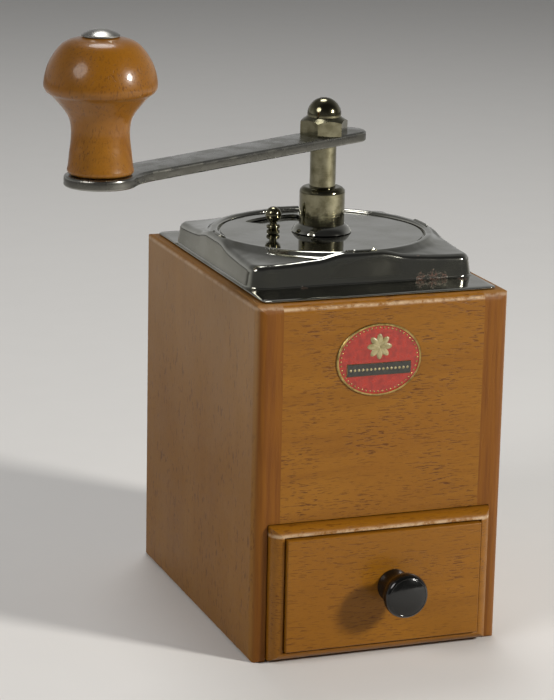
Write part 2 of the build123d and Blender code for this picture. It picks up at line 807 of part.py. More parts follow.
with BuildPart() as drawer_back:
    with Locations((0, box_rear - drawer_side_thickness / 2, box_bottom)):
        Box(2 * inside_x, drawer_side_thickness, box_height, align=low)
drawer_back.part.label = "drawer_back"
export_step(drawer_back.part, "parts/drawer_back.step")

with BuildPart() as drawer_bottom:
    tray_rear = box_rear - drawer_side_thickness
    with Locations((0, (rebate_y + tray_rear) / 2, box_bottom + drawer_bottom_inset)):
        Box(2 * inside_x, tray_rear - rebate_y, drawer_bottom_thickness, align=low)
drawer_bottom.part.label = "drawer_bottom"
export_step(drawer_bottom.part, "parts/drawer_bottom.step")

knob_plane = Plane(origin=(drawer_knob_x, field_y, drawer_knob_z), x_dir=(1, 0, 0), z_dir=(0, 0, -1))
knob_axis = Axis((drawer_knob_x, field_y, drawer_knob_z), (0, -1, 0))

with BuildPart() as drawer_knob:
    # profile: x is the radius, y runs out from the face of the drawer
    with BuildSketch(knob_plane):
        with BuildLine():
            tip = drawer_knob_length
            socket = drawer_screw_radius + running_fit
            foot = Polyline(
                (socket, 0),
                (drawer_knob_foot_radius, 0),
                (drawer_knob_foot_radius, drawer_knob_foot_height),
            )
            neck = ThreePointArc(
                foot @ 1,
                (drawer_knob_neck_radius, drawer_knob_waist_height),
                (drawer_knob_shoulder_radius, drawer_knob_shoulder_height),
            )
            ThreePointArc(
                neck @ 1,
                (drawer_knob_radius, drawer_knob_rim_height),
                (drawer_knob_face_radius, drawer_knob_face_height),
            )
            crown_arc(drawer_knob_face_radius, drawer_knob_face_height, tip)
            Polyline((0, tip), (0, drawer_screw_reach), (socket, drawer_screw_reach), (socket, 0))
        make_face()
    revolve(axis=knob_axis)
drawer_knob.part.label = "drawer_knob"
export_step(drawer_knob.part, "parts/drawer_knob.step")

with BuildPart() as drawer_knob_screw:
    with BuildSketch(front_plane.offset(-drawer_screw_head_height)):
        with Locations(knob_offset):
            Circle(drawer_screw_head_radius)
    extrude(amount=drawer_screw_head_height)
    with BuildSketch(front_plane):
        with Locations(knob_offset):
            Circle(drawer_screw_radius)
    extrude(amount=rebate_y - field_y + drawer_screw_reach - moving_gap)
drawer_knob_screw.part.label = "drawer_knob_screw"
export_step(drawer_knob_screw.part, "parts/drawer_knob_screw.step")

# ================= badge =================

badge_plane = Plane(
    origin=(badge_x, front_y, body_height - badge_drop),
    x_dir=(1, 0, 0),
    z_dir=(0, -1, 0),
)

with BuildPart() as badge_plate:
    with BuildSketch(badge_plane):
        Ellipse(badge_width / 2, badge_height / 2)
    extrude(amount=badge_thickness)
    chamfer(badge_plate.faces().sort_by(Axis.Y)[0].edges(), badge_edge)
badge_plate.part.label = "badge_plate"
export_step(badge_plate.part, "parts/badge_plate.step")
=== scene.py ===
import math

import bmesh
import bpy
from mathutils import Matrix, Vector, noise


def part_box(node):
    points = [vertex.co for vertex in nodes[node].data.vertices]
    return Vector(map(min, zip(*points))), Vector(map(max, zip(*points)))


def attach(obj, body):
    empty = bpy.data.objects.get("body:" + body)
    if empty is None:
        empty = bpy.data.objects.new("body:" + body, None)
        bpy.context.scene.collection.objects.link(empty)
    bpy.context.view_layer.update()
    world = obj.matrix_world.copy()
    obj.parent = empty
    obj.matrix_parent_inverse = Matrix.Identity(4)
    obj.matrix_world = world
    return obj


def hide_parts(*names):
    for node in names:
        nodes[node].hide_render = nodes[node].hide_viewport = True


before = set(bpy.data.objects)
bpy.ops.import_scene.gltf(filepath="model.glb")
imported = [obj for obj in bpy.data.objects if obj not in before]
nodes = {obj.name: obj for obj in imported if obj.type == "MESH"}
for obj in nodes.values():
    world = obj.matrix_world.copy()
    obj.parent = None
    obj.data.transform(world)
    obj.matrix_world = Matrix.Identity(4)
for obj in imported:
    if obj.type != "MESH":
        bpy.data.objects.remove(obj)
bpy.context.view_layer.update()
mm = 0.001
print("frame loaded,", len(nodes), "nodes")

cameraSet = {
    "azimuth": -20.42,
    "elevation": 14.42,
    "roll": 1.22,
    "lens": 133.9,
    "place": (-0.35353, -0.90413, 0.34794),
}


def addCamera(s):
    a, e, roll = (math.radians(s[k]) for k in ("azimuth", "elevation", "roll"))
    back = Vector((math.sin(a) * math.cos(e), -math.cos(a) * math.cos(e), math.sin(e)))
    level = Vector((0, 0, 1)).cross(back).normalized()
    right = math.cos(roll) * level + math.sin(roll) * back.cross(level)
    data = bpy.data.cameras.new("photoCamera")
    data.lens = s["lens"]
    data.clip_start = 0.01
    data.clip_end = 30
    cam = bpy.data.objects.new("photoCamera", data)
    turn = Matrix((right, back.cross(right), back)).transposed().to_4x4()
    cam.matrix_world = Matrix.Translation(s["place"]) @ turn
    bpy.context.collection.objects.link(cam)
    bpy.context.scene.camera = cam


addCamera(cameraSet)
print("camera placed")


# a thin wrapper that keeps the material code short
class Shader:
    def __init__(self, name):
        self.mat = bpy.data.materials.new(name)
        self.mat.use_nodes = True
        self.tree = self.mat.node_tree
        self.tree.nodes.clear()
        self.out = self.tree.nodes.new("ShaderNodeOutputMaterial")
        self.bsdf = self.tree.nodes.new("ShaderNodeBsdfPrincipled")
        self.tree.links.new(self.bsdf.outputs[0], self.out.inputs[0])
        self.coord = self.tree.nodes.new("ShaderNodeTexCoord")

    def link(self, source, target):
        self.tree.links.new(source, target)

    def mapping(self, scale=(1, 1, 1), turn=(0, 0, 0), shift=(0, 0, 0), source=None):
        n = self.tree.nodes.new("ShaderNodeMapping")
        n.inputs["Scale"].default_value = scale
        n.inputs["Rotation"].default_value = [math.radians(v) for v in turn]
        n.inputs["Location"].default_value = shift
        self.link(source or self.coord.outputs["Object"], n.inputs["Vector"])
        return n.outputs[0]

    def noise(self, vector, scale=1.0, detail=2.0, rough=0.5, distort=0.0):
        n = self.tree.nodes.new("ShaderNodeTexNoise")
        n.inputs["Scale"].default_value = scale
        n.inputs["Detail"].default_value = detail
        n.inputs["Roughness"].default_value = rough
        n.inputs["Distortion"].default_value = distort
        self.link(vector, n.inputs["Vector"])
        return n.outputs[0]

    def ramp(self, value, low, high, flip=False):
        n = self.tree.nodes.new("ShaderNodeMapRange")
        n.interpolation_type = "SMOOTHSTEP"
        n.inputs["From Min"].default_value = low
        n.inputs["From Max"].default_value = high
        n.inputs["To Min"].default_value = 1.0 if flip else 0.0
        n.inputs["To Max"].default_value = 0.0 if flip else 1.0
        self.link(value, n.inputs["Value"])
        return n.outputs["Result"]

    def math(self, kind, a, b=None):
        n = self.tree.nodes.new("ShaderNodeMath")
        n.operation = kind
        for socket, value in zip(n.inputs, (a, b)):
            if value is None:
                continue
            if isinstance(value, (int, float)):
                socket.default_value = value
            else:
                self.link(value, socket)
        return n.outputs[0]

    def mix(self, factor, a, b):
        n = self.tree.nodes.new("ShaderNodeMix")
        n.data_type = "RGBA"
        for socket, value in ((n.inputs[0], factor), (n.inputs[6], a), (n.inputs[7], b)):
            if isinstance(value, tuple):
                socket.default_value = (*value, 1)
            elif isinstance(value, (int, float)):
                socket.default_value = value
            else:
                self.link(value, socket)
        return n.outputs[2]

    def split(self, vector):
        n = self.tree.nodes.new("ShaderNodeSeparateXYZ")
        self.link(vector, n.inputs[0])
        return n.outputs

    def join(self, x, y, z):
        n = self.tree.nodes.new("ShaderNodeCombineXYZ")
        for socket, value in zip(n.inputs, (x, y, z)):
            self.link(value, socket)
        return n.outputs[0]

    def bump(self, height, strength, distance, normal=None):
        n = self.tree.nodes.new("ShaderNodeBump")
        n.inputs["Strength"].default_value = strength
        n.inputs["Distance"].default_value = distance
        self.link(height, n.inputs["Height"])
        if normal is not None:
            self.link(normal, n.inputs["Normal"])
        return n.outputs[0]

    def set(self, **values):
        for name, value in values.items():
            socket = self.bsdf.inputs[name.replace("_", " ")]
            if isinstance(value, (int, float)):
                socket.default_value = value
            elif isinstance(value, tuple):
                socket.default_value = (*value, 1)
            else:
                self.link(value, socket)


# lacquered beech: grain along x of its own space, short dark ray flecks, darker end grain
def beech(name, s):
    m = Shader(name)
    space = m.mapping(turn=s["turn"], shift=s["shift"])
    sway = m.noise(space, s["swayScale"], 2)
    x, y, z = m.split(space)
    y = m.math("ADD", y, m.math("MULTIPLY", sway, s["sway"]))
    grain = m.join(x, y, z)
    rays = m.noise(m.mapping(s["fleckSize"], source=grain), 1, 2, 0.55)
    fleck = m.ramp(rays, s["fleckFrom"], s["fleckFrom"] + s["fleckSpan"])
    patch = m.ramp(m.noise(space, s["patchScale"], 2), 0.38, 0.62)
    fleck = m.math("MULTIPLY", fleck, m.math("ADD", m.math("MULTIPLY", patch, 0.6), 0.4))
    pore = m.ramp(m.noise(m.mapping(s["poreSize"], source=grain), 1, 2, 0.6), 0.52, 0.72)
    band = m.ramp(m.noise(m.mapping(s["bandSize"], source=grain), 1, 3, 0.6, 0.4), 0.3, 0.7)
    cloud = m.noise(space, s["cloudScale"], 3)
    colour = m.mix(m.math("MULTIPLY", band, s["bandDepth"]), s["light"], s["dark"])
    colour = m.mix(m.ramp(cloud, 0.35, 0.75), colour, s["warm"])
    colour = m.mix(m.math("MULTIPLY", pore, s["poreDepth"]), colour, s["fleck"])
    colour = m.mix(m.math("MULTIPLY", fleck, s["fleckDepth"]), colour, s["fleck"])
    if "endAxis" in s:
        facing = m.math("ABSOLUTE", m.split(m.coord.outputs["Normal"])[s["endAxis"]])
        streak = m.noise(m.mapping(s["streakSize"]), 1, 3, 0.6)
        endColour = m.mix(m.ramp(streak, 0.35, 0.7), s["end"], s["endDark"])
        colour = m.mix(m.ramp(facing, 0.45, 0.8), colour, endColour)
    if "paintedSheen" in s:  # painted sheen: faces across x are painted paler and cloudy towards the top, a painted reflection of light
        low, high, axis = s["paintedSheen"]
        height = m.split(m.coord.outputs["Object"])[2]
        facing = m.ramp(m.math("ABSOLUTE", m.split(m.coord.outputs["Normal"])[axis]), 0.6, 0.95)
        sheenMottle = m.noise(m.mapping(s["paintedSheenSize"]), 1, 4, 0.6)
        patchy = m.math("ADD", m.math("MULTIPLY", sheenMottle, 0.9), 0.5)
        paintedSheenMask = m.math("MULTIPLY", m.math("MULTIPLY", m.ramp(height, low, high), patchy), facing)
        colour = m.mix(m.math("MULTIPLY", paintedSheenMask, s["paintedSheenDepth"]), colour, s["paintedSheenColour"])
    if "rubAndHighlight" in s:  # pale band along an edge: partly bare wood where the lacquer is rubbed off, partly a painted highlight
        low, middle, high = s["rubAndHighlight"]
        height = m.split(m.coord.outputs["Object"])[2]
        edge = m.math("MULTIPLY", m.ramp(height, low, middle), m.ramp(height, middle, high, flip=True))
        scuffed = m.ramp(m.noise(m.mapping(s["scuffSize"]), 1, 5, 0.75), 0.30, 0.62)
        bareAndHighlight = m.math("MULTIPLY", m.math("MULTIPLY", edge, scuffed), s["rubAndHighlightDepth"])
        colour = m.mix(bareAndHighlight, colour, s["rubAndHighlightColour"])
    dent = m.noise(space, s["dentScale"], 3, 0.6)
    smear = m.noise(space, s["smearScale"], 4, 0.65)
    m.set(Base_Color=colour, Roughness=m.math("ADD", m.math("MULTIPLY", smear, s["roughSpan"]), s["rough"]))
    m.set(Coat_Weight=s["coat"], Coat_Roughness=s["coatRough"], Specular_IOR_Level=s["shine"])
    height = m.math("SUBTRACT", m.math("MULTIPLY", dent, 0.5), m.math("MULTIPLY", fleck, 0.45))
    m.set(Normal=m.bump(height, 0.35, 0.0003))
    return m.mat


# bright plate or turned steel, with cloudy wear, hair scratches and rust spots where asked
def metal(name, s):
    m = Shader(name)
    space = m.mapping(turn=s["turn"])
    cloud = m.noise(space, s["cloudScale"], 4, 0.6)
    colour = m.mix(m.ramp(cloud, 0.3, 0.75), s["light"], s["dark"])
    scratch = m.ramp(m.noise(m.mapping(s["scratchSize"], source=space), 1, 2, 0.6), 0.6, 0.75)
    colour = m.mix(m.math("MULTIPLY", scratch, s["scratchDepth"]), colour, s["scratch"])
    rough = m.math("ADD", m.math("MULTIPLY", m.ramp(cloud, 0.35, 0.8), s["roughSpan"]), s["rough"])
    if "paintedDarkReflection" in s:  # painted dark reflection: upright faces are painted darker, as painted shade for dim surroundings
        level = m.math("ABSOLUTE", m.split(m.coord.outputs["Normal"])[2])
        paintedDarkMask = m.math("MULTIPLY", m.ramp(level, 0.05, s["paintedDarkReflectionTo"], flip=True), s["paintedDarkReflectionDepth"])
        colour = m.mix(paintedDarkMask, colour, s["paintedDarkReflection"])
    metallic = 1.0
    stain = None
    for x, y, z, size in s["rust"]:
        n = m.tree.nodes.new("ShaderNodeVectorMath")
        n.operation = "DISTANCE"
        m.link(m.coord.outputs["Object"], n.inputs[0])
        n.inputs[1].default_value = (x * mm, y * mm, z * mm)
        near = m.ramp(n.outputs["Value"], size * mm * 0.25, size * mm, flip=True)
        stain = near if stain is None else m.math("MAXIMUM", stain, near)
    if stain is not None:
        crumb = m.ramp(m.noise(space, s["crumbScale"], 5, 0.75), 0.46, 0.60)
        mask = m.ramp(m.math("MULTIPLY", stain, crumb), 0.25, 0.5)
        rustColour = m.mix(m.noise(space, s["rustScale"], 2), s["rustDark"], s["rustLight"])
        colour = m.mix(mask, colour, rustColour)
        rough = m.math("ADD", rough, m.math("MULTIPLY", mask, 0.5))
        metallic = m.math("SUBTRACT", 1.0, m.math("MULTIPLY", mask, 0.9))
    m.set(Base_Color=colour, Roughness=rough, Metallic=metallic)
    wave = m.noise(space, s["waveScale"], 1, 0.4)
    normal = m.bump(wave, s["waveStrength"], 0.0006)
    m.set(Normal=m.bump(scratch, s["scratchBump"], 0.0001, normal))
    return m.mat


# polished moulding with a little dust and a faint wave in its gloss
def blackResin(name, s):
    m = Shader(name)
    dust = m.ramp(m.noise(m.mapping(s["dustSize"]), 1, 3), 0.62, 0.8)
    m.set(Base_Color=m.mix(m.math("MULTIPLY", dust, s["dustDepth"]), s["colour"], s["dust"]))
    smear = m.noise(m.mapping(s["smearSize"]), 1, 3)
    m.set(Roughness=m.math("ADD", m.math("MULTIPLY", smear, s["roughSpan"]), s["rough"]))
    m.set(Specular_IOR_Level=s["shine"])
    m.set(Normal=m.bump(m.noise(m.mapping(s["waveSize"]), 1, 2), s["waveStrength"], 0.0003))
    return m.mat


def enamel(name, light, dark):
    m = Shader(name)
    cloud = m.noise(m.mapping((450, 450, 450)), 1, 4, 0.65)
    chip = m.ramp(m.noise(m.mapping((1500, 1500, 1500)), 1, 3), 0.68, 0.74)
    colour = m.mix(m.ramp(cloud, 0.35, 0.7), light, dark)
    m.set(Base_Color=m.mix(m.math("MULTIPLY", chip, 0.5), colour, (0.12, 0.08, 0.03)))
    m.set(Roughness=m.math("ADD", m.math("MULTIPLY", cloud, 0.3), 0.15), Coat_Weight=0.3, Coat_Roughness=0.2)
    m.set(Normal=m.bump(cloud, 0.2, 0.0002))
    return m.mat


def castIron(name):
    m = Shader(name)
    grit = m.noise(m.mapping((1400, 1400, 1400)), 1, 4, 0.7)
    m.set(Base_Color=m.mix(grit, (0.02, 0.02, 0.022), (0.09, 0.085, 0.08)), Metallic=0.7)
    m.set(Roughness=m.math("ADD", m.math("MULTIPLY", grit, 0.3), 0.45), Normal=m.bump(grit, 0.6, 0.0004))
    return m.mat


boardTone = {
    "light": (0.262, 0.108, 0.007), "dark": (0.205, 0.078, 0.004), "warm": (0.232, 0.09, 0.005),
    "fleck": (0.085, 0.024, 0.001), "bandDepth": 0.9, "fleckDepth": 0.8, "fleckFrom": 0.56,
    "fleckSpan": 0.07, "fleckSize": (230, 2000, 700), "poreSize": (520, 5200, 900), "poreDepth": 0.22,
    "bandSize": (7, 130, 40), "sway": 0.0035, "swayScale": 9, "patchScale": 55, "cloudScale": 22,
    "dentScale": 140, "smearScale": 38, "rough": 0.26, "roughSpan": 0.22, "coat": 0.10, "coatRough": 0.10,
    "shine": 0.22, "end": (0.195, 0.068, 0.003), "endDark": (0.145, 0.046, 0.002),
    "streakSize": (700, 700, 30), "paintedSheenSize": (28, 28, 28), "scuffSize": (260, 260, 260),
}
woods = {
    "front": beech("frontBeech", {
        # the pale band along the top edge is partly rubbed wear, partly a painted highlight
        **boardTone, "turn": (90, 11, 0), "shift": (0.31, 0.12, 0.07), "rubAndHighlight": (0.1312, 0.1322, 0.1332),
        "rubAndHighlightDepth": 0.6, "rubAndHighlightColour": (0.72, 0.55, 0.36),
    }),
    "back": beech("backBeech", {**boardTone, "turn": (90, -6, 0), "shift": (1.3, 0.5, 0.2)}),
    "side": beech("sideBeech", {
        **boardTone, "turn": (90, 4, 90), "shift": (0.6, 0.2, 0.9), "light": (0.265, 0.118, 0.016),
        "dark": (0.20, 0.083, 0.008), "warm": (0.23, 0.10, 0.012), "fleckSize": (240, 1500, 600),
        "fleckDepth": 0.6, "fleckFrom": 0.59, "endAxis": 1, "coat": 0.06, "coatRough": 0.25, "rough": 0.4,
        # the side faces are painted paler towards the top, a painted sheen
        "paintedSheen": (0.05, 0.15, 0), "paintedSheenDepth": 0.5, "paintedSheenColour": (0.36, 0.24, 0.135),
        # the pale band along the top edge is partly rubbed wear, partly a painted highlight
        "rubAndHighlight": (0.1318, 0.1328, 0.1338), "rubAndHighlightDepth": 0.5, "rubAndHighlightColour": (0.55, 0.42, 0.30),
    }),
    "drawer": beech("drawerBeech", {
        **boardTone, "turn": (90, 3, 0), "shift": (0.75, 0.33, 0.4), "light": (0.262, 0.105, 0.006),
        "fleckSize": (250, 2300, 800), "fleckDepth": 0.7, "fleckFrom": 0.57,
        # the pale band along the border's top crest is partly rubbed wear, partly a painted highlight
        "rubAndHighlight": (0.0484, 0.0494, 0.0506), "rubAndHighlightDepth": 0.6, "rubAndHighlightColour": (0.72, 0.55, 0.36),
    }),
    "knob": beech("knobBeech", {
        **boardTone, "turn": (0, 90, 20), "shift": (0.2, 0.4, 0.1), "light": (0.29, 0.125, 0.014),
        "dark": (0.19, 0.068, 0.005), "fleckSize": (260, 1700, 1700), "fleckDepth": 0.6, "coat": 0.35,
        "coatRough": 0.12, "rough": 0.22, "bandDepth": 1.0,
    }),
    "plain": beech("plainBeech", {
        **boardTone, "turn": (90, 2, 0), "shift": (0.1, 0.8, 0.3), "light": (0.46, 0.30, 0.14),
        "dark": (0.36, 0.22, 0.09), "warm": (0.42, 0.26, 0.11), "fleck": (0.22, 0.11, 0.04),
        "coat": 0.0, "rough": 0.5,
    }),
}
plateTone = {
    "light": (0.50, 0.495, 0.45), "dark": (0.38, 0.375, 0.32), "scratch": (0.66, 0.65, 0.62),
    "scratchSize": (3000, 160, 160), "scratchDepth": 0.3, "scratchBump": 0.05, "rough": 0.06, "roughSpan": 0.09,
    "turn": (0, 0, 0), "cloudScale": 70, "waveScale": 45, "waveStrength": 0.25, "rust": (),
}
metals = {
    "plate": metal("nickelPlate", {
        # upright faces are painted darker, a painted dark reflection
        **plateTone, "paintedDarkReflection": (0.24, 0.235, 0.18), "paintedDarkReflectionDepth": 0.6, "paintedDarkReflectionTo": 0.35,
        "rustDark": (0.02, 0.008, 0.004), "rustLight": (0.11, 0.035, 0.012), "rustScale": 2200, "crumbScale": 1300,
        "rust": (
            (22.6, -45.2, 136.0, 3.2), (27.5, -45.2, 136.4, 3.8), (31.5, -45.2, 136.0, 2.8),
            (38, -47, 135.0, 3.0), (16, -43.5, 145.5, 1.9), (22, -42.6, 144.6, 1.6),
            (-24, -46, 135.2, 2.2), (-43, -46, 135.2, 2.0),
        ),
    }),
    "lid": metal("lidPlate", {
        **plateTone, "scratchSize": (900, 900, 900), "waveScale": 60, "waveStrength": 0.3, "rough": 0.05,
    }),
    "nickel": metal("wornNickel", {
        **plateTone, "light": (0.24, 0.225, 0.15), "dark": (0.13, 0.118, 0.068), "scratchSize": (160, 160, 3200),
        "rough": 0.10, "roughSpan": 0.10, "cloudScale": 260, "waveStrength": 0.1, "scratch": (0.4, 0.38, 0.28),
    }),
    "arm": metal("armSteel", {
        **plateTone, "light": (0.34, 0.335, 0.305), "dark": (0.20, 0.197, 0.17), "scratchSize": (90, 2600, 2600),
        # upright faces are painted darker, a painted dark reflection
        "paintedDarkReflection": (0.10, 0.098, 0.085), "paintedDarkReflectionDepth": 0.8, "paintedDarkReflectionTo": 0.2, "scratch": (0.50, 0.49, 0.46),
        "turn": (0, 0, -209.5), "scratchDepth": 0.5, "rough": 0.2, "roughSpan": 0.22, "cloudScale": 120,
        "waveStrength": 0.15, "scratchBump": 0.25,
    }),
    "steel": metal("turnedSteel", {
        **plateTone, "light": (0.45, 0.44, 0.41), "dark": (0.26, 0.25, 0.22), "scratchSize": (300, 300, 5000),
        "rough": 0.25, "roughSpan": 0.2,
    }),
    "burr": metal("burrSteel", {
        **plateTone, "light": (0.24, 0.24, 0.24), "dark": (0.10, 0.10, 0.10), "rough": 0.35, "roughSpan": 0.2,
    }),
    "brass": metal("badgeBrass", {
        **plateTone, "light": (0.45, 0.33, 0.12), "dark": (0.20, 0.13, 0.04), "rough": 0.3, "roughSpan": 0.2,
        "cloudScale": 500,
    }),
}
iron = castIron("castIron")
resin = blackResin("blackResin", {
    "colour": (0.004, 0.004, 0.0035), "dust": (0.03, 0.028, 0.022), "dustSize": (900, 900, 900),
    "dustDepth": 0.25, "smearSize": (300, 300, 300), "rough": 0.08, "roughSpan": 0.12, "shine": 0.55,
    "waveSize": (160, 160, 160), "waveStrength": 0.12,
})
enamels = {
    "red": enamel("redEnamel", (0.36, 0.022, 0.008), (0.22, 0.012, 0.005)),
    "black": enamel("blackEnamel", (0.012, 0.012, 0.009), (0.03, 0.03, 0.02)),
    "cream": enamel("creamEnamel", (0.38, 0.32, 0.16), (0.22, 0.18, 0.07)),
}
print("materials made")

nodeFinish = {
    "left_side_board": woods["side"], "right_side_board": woods["side"], "front_board": woods["front"],
    "back_board": woods["back"], "base_board": woods["plain"], "mill_shelf": woods["plain"],
    "drawer_left_side": woods["plain"], "drawer_right_side": woods["plain"], "drawer_back": woods["plain"],
    "drawer_bottom": woods["plain"], "drawer_front": woods["drawer"], "crank_knob": woods["knob"],
    "cover_plate": metals["plate"], "lid_disc": metals["lid"], "lid_washer": metals["lid"],
    "lid_knob": metals["nickel"], "top_bearing": metals["nickel"], "bearing_nut": metals["steel"],
    "hopper_bowl": metals["steel"], "burr_housing": iron, "lower_bridge": iron, "outer_burr": metals["burr"],
    "inner_burr": metals["burr"], "burr_pin": metals["steel"], "housing_screws": metals["steel"],
    "tie_studs": metals["steel"], "tie_nuts": metals["steel"], "adjusting_wheel": metals["nickel"],
    "adjuster_spring": metals["steel"], "spindle": metals["nickel"], "crank_arm": metals["arm"],
    "cap_nut": metals["nickel"], "knob_pin": metals["steel"], "drawer_knob": resin,
    "drawer_knob_screw": metals["steel"], "badge_plate": metals["brass"],
}
for name, mat in nodeFinish.items():
    for s in nodes[name].material_slots:
        s.material = mat
print("solids dressed")


def finishMesh(name, bm, mats, sharp):
    bmesh.ops.remove_doubles(bm, verts=bm.verts, dist=1e-7)
    bmesh.ops.recalc_face_normals(bm, faces=bm.faces)
    mesh = bpy.data.meshes.new(name)
    bm.to_mesh(mesh)
    bm.free()
    for m in mats:
        mesh.materials.append(m)
    mesh.polygons.foreach_set("use_smooth", [True] * len(mesh.polygons))
    mesh.set_sharp_from_angle(angle=math.radians(sharp))
    ob = bpy.data.objects.new(name, mesh)
    bpy.context.collection.objects.link(ob)
    return ob


# faces between rings of the same count, but for the places to skip
def skinLoops(bm, loops, skip):
    rows = [[bm.verts.new(p) for p in loop] for loop in loops]
    count = len(rows[0])
    for k in range(len(rows) - 1):
        for i in range(count):
            if skip(k, i):
                continue
            j = (i + 1) % count
            bm.faces.new((rows[k][i], rows[k + 1][i], rows[k + 1][j], rows[k][j]))


# faces between vertex rings, with a flat face on the first and the last
def capRings(bm, rings):
    for a, b in zip(rings, rings[1:]):
        for i in range(len(a)):
            j = (i + 1) % len(a)
            bm.faces.new((a[i], a[j], b[j], b[i]))
    bm.faces.new(rings[-1])
    bm.faces.new(rings[0][::-1])


# angles that climb in even steps to a right angle, without the first at nought
def quarter(count):
    return [math.radians(90 * k / count) for k in range(1, count + 1)]


# pressed cover: loops run out from the bearing hole, over the ring, down the platform and out to the flange
coverSet = {
    "around": 576, "sheet": 0.9, "floor": 10.2, "floorRadii": (6.6, 9.0, 15.0, 21.0, 27.0, 33.0, 36.0, 38.6),
    "windowIn": 15.0, "windowOut": 33.0, "windowFrom": 181.0, "windowTo": 229.0,
    "well": 39.3, "wellFoot": ((0.25, 0.1), (0.0, 0.5)), "ringTop": 12.4, "ringInner": 40.3, "ringOuter": 41.6,
    "platform": 9.2, "platformSteps": 16, "platformSpread": 1.5, "bead": 0.40, "beadWidth": 1.6,
    "sweep": 17.0, "sweepPower": 2.4, "margin": 0.3, "corner": 5.0, "edge": 2.5, "draft": 0.8, "foot": 0.8,
    "flangeCorner": 3.0, "lip": 0.35, "lipShare": 0.3, "ripple": ((13, 2.0, 0.10), (4, 7.0, 0.05)), "calm": 0.25,
}


def roundedRadius(angle, halfX, halfY, corner):
    c, s = abs(math.cos(angle)), abs(math.sin(angle))
    reach = min(halfX / max(c, 1e-9), halfY / max(s, 1e-9))
    x, y = reach * c, reach * s
    if x > halfX - corner and y > halfY - corner:
        cx, cy = halfX - corner, halfY - corner
        along = cx * c + cy * s
        reach = along + math.sqrt(max(along * along - cx * cx - cy * cy + corner * corner, 0))
    return reach


def makeCover(s):
    low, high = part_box("cover_plate")
    baseZ = low[2] / mm
    flangeX, flangeY = high[0] / mm, high[1] / mm
    half = flangeX - s["margin"] - s["draft"] - s["foot"]
    angles = [2 * math.pi * i / s["around"] for i in range(s["around"])]

    def topHeight(r):
        d = max(r - s["ringOuter"], 0)
        sweep = max(1 - d / s["sweep"], 0) ** s["sweepPower"]
        rise = s["bead"] * math.exp(-((d / s["beadWidth"]) ** 2)) + (1 - s["bead"]) * sweep
        return s["platform"] + (s["ringTop"] - s["platform"]) * rise

    def loop(radius, height):
        points = []
        for a in angles:
            r = radius(a) if callable(radius) else radius
            z = height(a, r) if callable(height) else height
            x, y = r * math.cos(a), r * math.sin(a)
            ripple = 0.0
            for size, layer, rise in s["ripple"]:
                ripple += rise * noise.noise(Vector((x / size, y / size, layer)))
            if z <= s["sheet"] + 0.01 or r < s["well"]:
                ripple *= s["calm"]
            points.append(Vector((x, y, baseZ + z + ripple)) * mm)
        return points

    def platformLine(a, out):
        return roundedRadius(a, half + out, half + out, s["corner"] + out)

    def edgeLine(a):
        return platformLine(a, -s["edge"])

    def flangeLine(a, inset):
        return roundedRadius(a, flangeX - inset, flangeY - inset, s["flangeCorner"] - inset)

    # lid's floor and the ring round it
    loops = [loop(r, s["floor"]) for r in s["floorRadii"]]
    windowRows = range(s["floorRadii"].index(s["windowIn"]), s["floorRadii"].index(s["windowOut"]))
    loops += [loop(s["well"] - inset, s["floor"] + rise) for inset, rise in s["wellFoot"]]
    crestRise = s["ringInner"] - s["well"]
    loops.append(loop(s["well"], s["ringTop"] - crestRise))
    for t in quarter(4):
        loops.append(loop(s["ringInner"] - crestRise * math.cos(t), s["ringTop"] - crestRise * (1 - math.sin(t))))
    # platform's top, its rounded edge and its wall
    for k in range(s["platformSteps"] + 1):
        t = (k / s["platformSteps"]) ** s["platformSpread"]
        loops.append(loop(
            lambda a: s["ringOuter"] + t * (edgeLine(a) - s["ringOuter"]),
            lambda a, r: topHeight(r),
        ))
    for t in quarter(6):
        loops.append(loop(
            lambda a: platformLine(a, s["edge"] * math.sin(t) - s["edge"]),
            lambda a, r: topHeight(edgeLine(a)) - s["edge"] * (1 - math.cos(t)),
        ))
    wallLow = s["sheet"] + s["foot"]
    for t in (0.25, 0.5, 0.75, 1.0):
        loops.append(loop(
            lambda a: platformLine(a, s["draft"] * t),
            lambda a, r: (1 - t) * (topHeight(edgeLine(a)) - s["edge"]) + t * wallLow,
        ))
    # the turn at the wall's foot and the flange
    for t in quarter(4):
        loops.append(loop(
            lambda a: platformLine(a, s["draft"] + s["foot"] * (1 - math.cos(t))),
            wallLow - s["foot"] * math.sin(t),
        ))
    footOut = s["draft"] + s["foot"]
    for k in range(1, 7):
        t = k / 6
        loops.append(loop(lambda a: (1 - t) * platformLine(a, footOut) + t * flangeLine(a, s["lip"]), s["sheet"]))
    bevel = s["lipShare"] * s["lip"]
    loops.append(loop(lambda a: flangeLine(a, bevel), s["sheet"] - bevel))
    loops.append(loop(lambda a: flangeLine(a, 0), s["sheet"] - s["lip"]))

    def inWindow(k, i):
        degrees = 360 * (i + 0.5) / s["around"]
        return k in windowRows and s["windowFrom"] < degrees < s["windowTo"]

    bm = bmesh.new()
    skinLoops(bm, loops, inWindow)
    cover = finishMesh("pressedCover", bm, [metals["plate"]], 50)
    if sum(p.normal.z for p in cover.data.polygons) < 0:
        cover.data.flip_normals()
    wall = cover.modifiers.new("sheet", "SOLIDIFY")
    wall.thickness = (s["sheet"] - s["lip"]) * mm
    wall.offset = -1
    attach(cover, "case")
    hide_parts("cover_plate")


makeCover(coverSet)
print("cover pressed")


